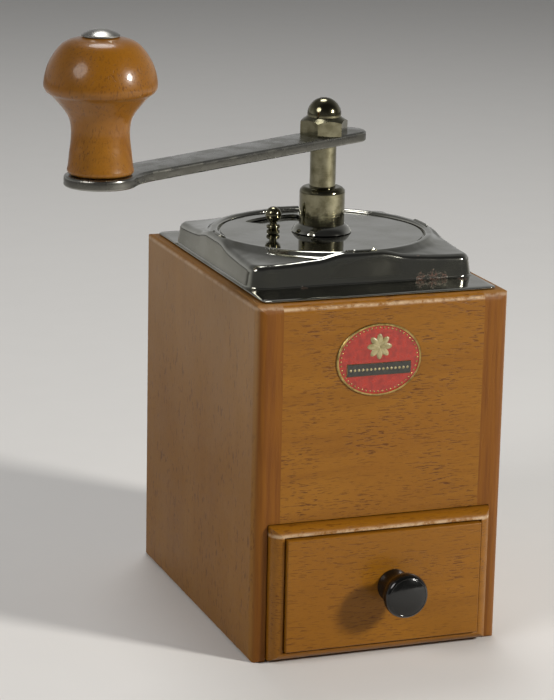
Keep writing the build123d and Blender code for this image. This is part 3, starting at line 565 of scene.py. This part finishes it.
# turned pieces: (radius, height) pairs swept round an axis
def turned(name, profile, centre, mat, around, axis="z", shake=0.0):
    bm = bmesh.new()
    rings = []
    for r, h in profile:
        ring = []
        for i in range(1 if r < 1e-6 else around):
            a = 2 * math.pi * i / around
            p = Vector((r * math.cos(a), r * math.sin(a), h))
            if shake:
                p += shake * noise.noise_vector(p / 9)
            if axis == "-y":
                p = Vector((p.x, -p.z, p.y))
            ring.append(bm.verts.new((p + Vector(centre)) * mm))
        rings.append(ring)
    for k in range(len(rings) - 1):
        a, b = rings[k], rings[k + 1]
        for i in range(around):
            j = (i + 1) % around
            corners = [a[i % len(a)], b[i % len(b)], b[j % len(b)], a[j % len(a)]]
            corners = list(dict.fromkeys(corners))
            if len(corners) > 2:
                bm.faces.new(corners)
    return finishMesh(name, bm, [mat], 40)


def arc(cx, cz, radius, start, end, count):
    return [
        (cx + radius * math.cos(math.radians(start + (end - start) * i / count)),
         cz + radius * math.sin(math.radians(start + (end - start) * i / count)))
        for i in range(count + 1)
    ]


# a smooth line through given points
def flowing(points, per=8):
    out = []
    last = len(points) - 1
    for k in range(last):
        p = [Vector(points[min(max(k + o, 0), last)]) for o in (-1, 0, 1, 2)]
        for i in range(per):
            t = i / per
            q = 0.5 * (2 * p[1] + (p[2] - p[0]) * t + (2 * p[0] - 5 * p[1] + 4 * p[2] - p[3]) * t**2
                       + (3 * p[1] - p[0] - 3 * p[2] + p[3]) * t**3)
            out.append((q.x, q.y))
    out.append(tuple(points[-1]))
    return out


# the crank knob's outline as shares of its largest radius and its height
knobSet = {
    "around": 144,
    "inside": 0.02,
    "bore": 3.05,
    "heel": 1.3,
    "crown": 0.34,
    "shake": 0.05,
    "seed": 3,
    "outline": (
        (0.590, 0.035), (0.573, 0.073), (0.550, 0.166), (0.530, 0.228), (0.518, 0.305), (0.528, 0.361),
        (0.555, 0.408), (0.610, 0.452), (0.686, 0.493), (0.764, 0.533), (0.862, 0.576), (0.945, 0.601),
        (0.990, 0.629), (1.0, 0.658), (0.990, 0.701), (0.962, 0.753), (0.915, 0.809), (0.848, 0.861),
        (0.770, 0.907), (0.665, 0.951), (0.52, 0.981), (0.36, 0.995),
    ),
}


def makeKnob(s):
    low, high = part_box("crank_knob")
    centre = ((low[0] + high[0]) / 2 / mm, (low[1] + high[1]) / 2 / mm, low[2] / mm)
    radius, height = (high[0] - low[0]) / 2 / mm - s["inside"], (high[2] - low[2]) / mm
    side = flowing([(r * radius, z * height) for r, z in s["outline"]])
    footRadius = side[0][0]
    heel = arc(footRadius - s["heel"], s["heel"], s["heel"], -90, -10, 6)
    crown = [(s["crown"] * radius, height), (s["bore"], height)]
    profile = [(s["bore"], 0), *heel, *side, *crown, (s["bore"], 0)]
    noise.seed_set(s["seed"])
    knob = turned("crankKnob", profile, centre, woods["knob"], s["around"], shake=s["shake"])
    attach(knob, "knob")
    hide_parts("crank_knob")


makeKnob(knobSet)
print("crank knob turned")

# crank arm: a flat bar with round ends, the wider one under the knob
armSet = {"halfWidth": 8.0, "eye": 12.6, "blend": 25.0, "tail": 12.8, "topEdge": 1.0, "lowEdge": 0.6}


def armOutline(s, reach, inset):
    half, eye, blend = s["halfWidth"] - inset, s["eye"] - inset, s["blend"] + inset
    run = math.sqrt((s["eye"] + s["blend"]) ** 2 - (s["halfWidth"] + s["blend"]) ** 2)
    lean = math.degrees(math.atan2(s["halfWidth"] + s["blend"], run))
    away = s["halfWidth"] + s["blend"]
    upper = arc(reach - run, away, blend, -lean, -90, 12)
    lower = [(x, -y) for x, y in reversed(upper)]
    return arc(reach, 0, eye, lean - 180, 180 - lean, 48) + upper + arc(-s["tail"], 0, half, 90, 270, 32) + lower


def makeArm(s):
    low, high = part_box("crank_knob")
    x, y = (low[0] + high[0]) / 2 / mm, (low[1] + high[1]) / 2 / mm
    reach = math.hypot(x, y)
    along, across = Vector((x, y, 0)) / reach, Vector((-y, x, 0)) / reach
    low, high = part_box("crank_arm")
    bottom, top = low[2] / mm, high[2] / mm
    turns = [0.0, *quarter(5)]
    levels = [(s["lowEdge"] * (1 - math.sin(t)), bottom + s["lowEdge"] * (1 - math.cos(t))) for t in turns]
    levels += [(s["topEdge"] * (1 - math.cos(t)), top - s["topEdge"] * (1 - math.sin(t))) for t in turns]
    bm = bmesh.new()
    rings = []
    for inset, z in levels:
        line = armOutline(s, reach, inset)
        rings.append([bm.verts.new((u * along + v * across + Vector((0, 0, z))) * mm) for u, v in line])
    capRings(bm, rings)
    arm = finishMesh("crankArm", bm, [metals["arm"]], 28)
    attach(arm, "crank")
    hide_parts("crank_arm")


makeArm(armSet)
print("crank arm forged")

# drawer front: a swelling border, a narrow groove and a raised field, mitred at the corners
drawerSet = {
    "proud": 0.6, "sideBorder": 5.2, "topBorder": 4.2, "swell": 4.6, "swellAngle": 72, "swellSteps": 14,
    "groove": 0.9, "grooveDepth": 3.2, "grooveWall": ((0.75, 0.12), (0.66, 0.4)),
    "grooveFloor": ((0.5, -0.1), (0.2, 0.0), (0.04, -0.1)), "fieldEdge": 0.45, "heel": 0.3,
}


def makeDrawerFront(s):
    low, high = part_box("drawer_front")
    x0, x1, z0, z1 = low[0] / mm, high[0] / mm, low[2] / mm, high[2] / mm
    back, field = high[1] / mm, low[1] / mm
    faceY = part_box("front_board")[0][1] / mm
    edge = faceY - s["proud"]
    side, top = s["sideBorder"], s["topBorder"]
    rows = [(s["heel"], s["heel"], back), (0, 0, back - s["heel"])]
    end = math.radians(s["swellAngle"])
    for k in range(s["swellSteps"] + 1):
        t = math.radians(s["swellAngle"] * k / s["swellSteps"])
        share = (1 - math.cos(t)) / (1 - math.cos(end))
        swell = s["swell"] * math.sin(t) / math.sin(end)
        rows.append(((side - s["groove"]) * share, (top - s["groove"]) * share, edge - swell))
    crest, floor = edge - s["swell"], edge - s["grooveDepth"]
    bed = [(run, crest + y) for run, y in s["grooveWall"]] + [(run, floor + y) for run, y in s["grooveFloor"]]
    rows += [(side - s["groove"] * run, top - s["groove"] * run, y) for run, y in bed]
    for t in (0.0, *quarter(5)):
        inset = s["fieldEdge"] * (1 - math.cos(t))
        rows.append((side + inset, top + inset, field + s["fieldEdge"] * (1 - math.sin(t))))
    bm = bmesh.new()
    rings = []
    for ix, iz, y in rows:
        corners = ((x0 + ix, z0 + iz), (x1 - ix, z0 + iz), (x1 - ix, z1 - iz), (x0 + ix, z1 - iz))
        rings.append([bm.verts.new((x * mm, y * mm, z * mm)) for x, z in corners])
    capRings(bm, rings)
    front = finishMesh("drawerFront", bm, [woods["drawer"]], 30)
    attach(front, "drawer")
    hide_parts("drawer_front")


makeDrawerFront(drawerSet)
print("drawer front moulded")

# drawer knob: flared neck, rounded head and a shallow groove round its face
pullSet = {
    "around": 96,
    "outline": (
        (6.25, 0.0), (6.3, 0.5), (6.1, 1.1), (5.75, 2.2), (5.5, 3.6), (5.5, 4.9), (5.8, 6.5), (6.5, 8.0),
        (7.5, 9.2), (8.15, 10.2), (8.40, 11.3), (8.34, 12.4), (7.95, 13.4), (7.4, 14.0), (7.1, 14.16),
        (6.95, 14.12), (6.7, 14.25), (5.2, 14.78), (3.2, 15.2), (1.4, 15.36),
    ),
}


def makePull(s):
    low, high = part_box("drawer_knob")
    centre = ((low[0] + high[0]) / 2 / mm, high[1] / mm, (low[2] + high[2]) / 2 / mm)
    length = (high[1] - low[1]) / mm
    profile = [(0, 0), *flowing(s["outline"], 5), (0, length)]
    pull = turned("drawerPull", profile, centre, resin, s["around"], axis="-y")
    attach(pull, "drawer")
    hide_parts("drawer_knob")


makePull(pullSet)
print("drawer knob turned")


# runs a geometry tree once and keeps the plain mesh
def grow(name, tree, values, mats):
    ob = bpy.data.objects.new(name, bpy.data.meshes.new(name))
    bpy.context.collection.objects.link(ob)
    mod = ob.modifiers.new("build", "NODES")
    mod.node_group = tree
    for item in tree.interface.items_tree:
        if item.in_out == "INPUT" and item.name in values:
            mod[item.identifier] = values[item.name]
    graph = bpy.context.evaluated_depsgraph_get()
    mesh = bpy.data.meshes.new_from_object(ob.evaluated_get(graph))
    ob.modifiers.remove(mod)
    ob.data = mesh
    mesh.name = name
    if not mesh.materials:
        for m in mats:
            mesh.materials.append(m)
    mesh.polygons.foreach_set("use_smooth", [True] * len(mesh.polygons))
    mesh.set_sharp_from_angle(angle=math.radians(40))
    return ob


class GeoTree:
    def __init__(self, name, sizes):
        self.tree = bpy.data.node_groups.new(name, "GeometryNodeTree")
        self.tree.interface.new_socket("Mesh", in_out="OUTPUT", socket_type="NodeSocketGeometry")
        for key, value in sizes.items():
            kind = "NodeSocketInt" if isinstance(value, int) else "NodeSocketFloat"
            self.tree.interface.new_socket(key, in_out="INPUT", socket_type=kind).default_value = value
        self.given = self.tree.nodes.new("NodeGroupInput").outputs

    def add(self, kind, sockets, **settings):
        n = self.tree.nodes.new(kind)
        for key, value in settings.items():
            setattr(n, key, value)
        for key, value in sockets.items():
            if isinstance(value, bpy.types.NodeSocket):
                self.tree.links.new(value, n.inputs[key])
            else:
                n.inputs[key].default_value = value
        return n.outputs

    def finish(self, geometry, mat):
        real = self.add("GeometryNodeRealizeInstances", {"Geometry": geometry})
        dressed = self.add("GeometryNodeSetMaterial", {"Geometry": real[0], "Material": mat})
        out = self.tree.nodes.new("NodeGroupOutput")
        self.tree.links.new(dressed[0], out.inputs[0])
        return self.tree


# copies of a small dome set round an oval in the XZ plane
def beadTree(name, sizes, mat):
    g = GeoTree(name, sizes)
    oval = g.add("ShaderNodeCombineXYZ", {"X": g.given["Half width"], "Y": g.given["Half height"], "Z": 1.0})
    circle = g.add("GeometryNodeCurvePrimitiveCircle", {"Radius": 1.0, "Resolution": 128})
    stretched = g.add("GeometryNodeTransform", {"Geometry": circle[0], "Scale": oval[0]})
    stood = g.add("GeometryNodeTransform", {"Geometry": stretched[0], "Rotation": (math.pi / 2, 0, 0)})
    place = g.add("ShaderNodeCombineXYZ", {"X": g.given["Across"], "Y": g.given["Depth"], "Z": g.given["Up"]})
    moved = g.add("GeometryNodeTransform", {"Geometry": stood[0], "Translation": place[0]})
    spots = g.add("GeometryNodeCurveToPoints", {"Curve": moved[0], "Count": g.given["Count"]}, mode="COUNT")
    ball = g.add("GeometryNodeMeshUVSphere", {"Segments": 14, "Rings": 8, "Radius": g.given["Bead"]})
    flat = g.add("GeometryNodeTransform", {"Geometry": ball[0], "Scale": (1, 0.5, 1)})
    beads = g.add("GeometryNodeInstanceOnPoints", {"Points": spots[0], "Instance": flat[0]})
    return g.finish(beads[0], mat)


# a level row of the same small domes
def rowTree(name, sizes, mat):
    g = GeoTree(name, sizes)
    start = g.add("ShaderNodeCombineXYZ", {"X": g.given["From"], "Y": g.given["Depth"], "Z": g.given["Up"]})
    step = g.add("ShaderNodeCombineXYZ", {"X": g.given["Step"], "Y": 0.0, "Z": 0.0})
    row = g.add("GeometryNodeMeshLine", {
        "Count": g.given["Count"], "Start Location": start[0], "Offset": step[0],
    }, mode="OFFSET")
    ball = g.add("GeometryNodeMeshUVSphere", {"Segments": 14, "Rings": 8, "Radius": g.given["Bead"]})
    flat = g.add("GeometryNodeTransform", {"Geometry": ball[0], "Scale": (1, 0.5, 1)})
    beads = g.add("GeometryNodeInstanceOnPoints", {"Points": row[0], "Instance": flat[0]})
    return g.finish(beads[0], mat)


# petals set round a middle, for the badge's flower
def petalTree(name, sizes, mat):
    g = GeoTree(name, sizes)
    circle = g.add("GeometryNodeMeshCircle", {"Vertices": g.given["Count"], "Radius": g.given["Reach"]})
    ball = g.add("GeometryNodeMeshUVSphere", {"Segments": 16, "Rings": 8, "Radius": g.given["Petal"]})
    leaf = g.add("GeometryNodeTransform", {"Geometry": ball[0], "Scale": (1.25, 0.62, 0.22)})
    where = g.add("GeometryNodeInputPosition", {})
    turn = g.add("FunctionNodeAlignEulerToVector", {"Vector": where[0]}, axis="X")
    petals = g.add("GeometryNodeInstanceOnPoints", {"Points": circle[0], "Instance": leaf[0], "Rotation": turn[0]})
    stood = g.add("GeometryNodeTransform", {"Geometry": petals[0], "Rotation": (math.pi / 2, 0, 0)})
    place = g.add("ShaderNodeCombineXYZ", {"X": g.given["Across"], "Y": g.given["Depth"], "Z": g.given["Up"]})
    moved = g.add("GeometryNodeTransform", {"Geometry": stood[0], "Translation": place[0]})
    return g.finish(moved[0], mat)


# a round wire wound into a coil
def coilTree(name, sizes, mat):
    g = GeoTree(name, sizes)
    spiral = g.add("GeometryNodeCurveSpiral", {
        "Resolution": 48, "Rotations": g.given["Turns"], "Start Radius": g.given["Radius"],
        "End Radius": g.given["Radius"], "Height": g.given["Height"],
    })
    place = g.add("ShaderNodeCombineXYZ", {"X": 0.0, "Y": 0.0, "Z": g.given["Bottom"]})
    moved = g.add("GeometryNodeTransform", {"Geometry": spiral[0], "Translation": place[0]})
    wire = g.add("GeometryNodeCurvePrimitiveCircle", {"Radius": g.given["Wire"], "Resolution": 12})
    coil = g.add("GeometryNodeCurveToMesh", {"Curve": moved[0], "Profile Curve": wire[0], "Fill Caps": True})
    return g.finish(coil[0], mat)


# badge: brass rim, red field, a dark band with beads and a pale flower above it
badgeSet = {
    "around": 96, "rim": 1.1, "rimRound": 0.25, "fieldDrop": 0.22,
    "field": ((0.30, 0.18), (0.55, 0.12), (0.8, 0.08), (0.995, 0.06)),
    "bandHalf": 12.6, "bandLow": -5.9, "bandHigh": -0.9, "bandBack": 0.3, "bandFace": -0.10, "bandBevel": 0.3,
    "rimBeads": 52, "rimBead": 0.36, "rimBeadInset": 0.55, "bandBeads": 15, "bandBead": 0.55, "bandEnd": 1.6,
    "flowerUp": 4.9, "flowerReach": 2.3, "flowerDrop": 0.1, "petals": 8, "petal": 2.0,
}


def makeBadge(s):
    low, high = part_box("badge_plate")
    cx, cz = (low[0] + high[0]) / 2 / mm, (low[2] + high[2]) / 2 / mm
    a, b = (high[0] - low[0]) / 2 / mm, (high[2] - low[2]) / 2 / mm
    back, face = high[1] / mm, low[1] / mm
    rim, soft = s["rim"], s["rimRound"]
    # inset from the edge, depth and material of each oval ring
    rows = [
        (0.05, back, 0), (0.0, face + soft, 0), (soft, face, 0), (rim - soft, face, 0),
        (rim, face + s["fieldDrop"], 1), *((share * b, face + drop, 1) for share, drop in s["field"]),
    ]
    bm = bmesh.new()
    turns = [2 * math.pi * i / s["around"] for i in range(s["around"])]
    rings = []
    for inset, y, mat in rows:
        oval = [(cx + (a - inset) * math.cos(t), y, cz + (b - inset) * math.sin(t)) for t in turns]
        rings.append([bm.verts.new(Vector(p) * mm) for p in oval])
    for p, q, row in zip(rings, rings[1:], rows[1:]):
        for i in range(len(p)):
            j = (i + 1) % len(p)
            bm.faces.new((p[i], p[j], q[j], q[i])).material_index = row[2]
    bm.faces.new(rings[-1]).material_index = 1
    bm.faces.new(rings[0][::-1])
    # the band lies across the lower half of the field
    x0, x1, z0, z1 = cx - s["bandHalf"], cx + s["bandHalf"], cz + s["bandLow"], cz + s["bandHigh"]
    front = face + s["bandFace"]

    def bandRing(inset, y):
        low, high, left, right = z0 + inset, z1 - inset, x0 + inset, x1 - inset
        corners = ((left, low), (right, low), (right, high), (left, high))
        return [bm.verts.new((x * mm, y * mm, z * mm)) for x, z in corners]

    outer, inner = bandRing(0, face + s["bandBack"]), bandRing(s["bandBevel"], front)
    for i in range(4):
        bm.faces.new((outer[i], outer[(i + 1) % 4], inner[(i + 1) % 4], inner[i])).material_index = 0
    bm.faces.new(inner).material_index = 2
    bm.faces.new(outer[::-1]).material_index = 2
    plate = finishMesh("badgePlate", bm, [metals["brass"], enamels["red"], enamels["black"]], 30)
    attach(plate, "case")
    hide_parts("badge_plate")
    inset = rim + s["rimBeadInset"]
    rimSizes = {
        "Half width": (a - inset) * mm, "Half height": (b - inset) * mm, "Bead": s["rimBead"] * mm,
        "Count": s["rimBeads"], "Across": cx * mm, "Depth": (face + s["fieldDrop"]) * mm, "Up": cz * mm,
    }
    gap = 2 * (s["bandHalf"] - s["bandEnd"]) / (s["bandBeads"] - 1)
    bandSizes = {
        "From": (x0 + s["bandEnd"]) * mm, "Step": gap * mm, "Bead": s["bandBead"] * mm, "Count": s["bandBeads"],
        "Depth": face * mm, "Up": (z0 + z1) / 2 * mm,
    }
    flowerSizes = {
        "Count": s["petals"], "Reach": s["flowerReach"] * mm, "Petal": s["petal"] * mm, "Across": cx * mm,
        "Depth": (face + s["flowerDrop"]) * mm, "Up": (cz + s["flowerUp"]) * mm,
    }
    parts = (
        ("badgeRimBeads", beadTree("rimBeads", rimSizes, metals["brass"]), rimSizes, metals["brass"]),
        ("badgeBandBeads", rowTree("bandBeads", bandSizes, enamels["cream"]), bandSizes, enamels["cream"]),
        ("badgeFlower", petalTree("badgePetals", flowerSizes, enamels["cream"]), flowerSizes, enamels["cream"]),
    )
    for name, tree, sizes, mat in parts:
        ob = grow(name, tree, sizes, [mat])
        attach(ob, "case")


makeBadge(badgeSet)
print("badge made")

# spring between the setting wheel and the shelf
springSet = {"wire": 0.6, "turns": 4.0}


def makeSpring(s):
    low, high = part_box("adjuster_spring")
    sizes = {
        "Turns": s["turns"], "Radius": (high[0] - low[0]) / 2 - s["wire"] * mm, "Wire": s["wire"] * mm,
        "Height": high[2] - low[2] - 2 * s["wire"] * mm, "Bottom": low[2] + s["wire"] * mm,
    }
    spring = grow("settingSpring", coilTree("springCoil", sizes, metals["steel"]), sizes, [metals["steel"]])
    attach(spring, "adjuster")
    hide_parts("adjuster_spring")


makeSpring(springSet)
print("spring wound")

# studio: pale floor, one key lamp from the right, soft fill, grey surroundings
studioSet = {
    "floorColour": (0.74, 0.73, 0.71),
    "floorSize": 8.0,
    "aim": (-0.02, 0.0, 0.12),
    "lamps": (
        ("keyLamp", (1.00, -1.05, 0.72), 0.24, 23.0, (1.0, 0.97, 0.92)),
        ("fillLamp", (-1.30, -0.60, 1.10), 0.80, 10.0, (1.0, 0.97, 0.95)),
        ("topLamp", (0.15, 0.70, 1.70), 0.70, 10.0, (1.0, 1.0, 1.0)),
    ),
    "horizon": 0.45,
    "overhead": 0.14,
    "climb": 0.7,
    "dimSide": 0.22,
    "dimSpan": 0.35,
}


def addStudio(s):
    mesh = bpy.data.meshes.new("paleFloor")
    half = s["floorSize"]
    mesh.from_pydata([(-half, -half, 0), (half, -half, 0), (half, half, 0), (-half, half, 0)], [], [(0, 1, 2, 3)])
    floor = bpy.data.objects.new("paleFloor", mesh)
    bpy.context.collection.objects.link(floor)
    m = Shader("floorPaper")
    grain = m.noise(m.mapping((40, 40, 40)), 1, 3)
    m.set(Base_Color=m.mix(grain, s["floorColour"], tuple(c * 0.97 for c in s["floorColour"])), Roughness=0.85)
    mesh.materials.append(m.mat)
    for name, place, size, power, colour in s["lamps"]:
        data = bpy.data.lights.new(name, "AREA")
        data.shape = "DISK"
        data.size = size
        data.energy = power
        data.color = colour
        lamp = bpy.data.objects.new(name, data)
        aim = (Vector(s["aim"]) - Vector(place)).to_track_quat("-Z", "Y")
        lamp.matrix_world = Matrix.Translation(place) @ aim.to_matrix().to_4x4()
        bpy.context.collection.objects.link(lamp)
    world = bpy.data.worlds.new("studioRoom")
    bpy.context.scene.world = world
    world.use_nodes = True
    tree = world.node_tree
    background = tree.nodes["Background"]
    coord = tree.nodes.new("ShaderNodeTexCoord")
    split = tree.nodes.new("ShaderNodeSeparateXYZ")
    tree.links.new(coord.outputs["Generated"], split.inputs[0])

    def slope(value, *ends):
        n = tree.nodes.new("ShaderNodeMapRange")
        n.interpolation_type = "SMOOTHSTEP"
        for key, end in zip(("From Min", "From Max", "To Min", "To Max"), ends):
            n.inputs[key].default_value = end
        tree.links.new(value, n.inputs["Value"])
        return n.outputs["Result"]

    level = slope(split.outputs[2], 0.0, s["climb"], s["horizon"], s["overhead"])
    # the room is dim on the camera's side, so the metal has something dark to mirror
    side = slope(split.outputs[1], -s["dimSpan"], s["dimSpan"], s["dimSide"], 1.0)
    product = tree.nodes.new("ShaderNodeMath")
    product.operation = "MULTIPLY"
    tree.links.new(level, product.inputs[0])
    tree.links.new(side, product.inputs[1])
    tree.links.new(product.outputs[0], background.inputs["Color"])
    bpy.context.scene.view_settings.view_transform = "Standard"


addStudio(studioSet)
print("studio lit")
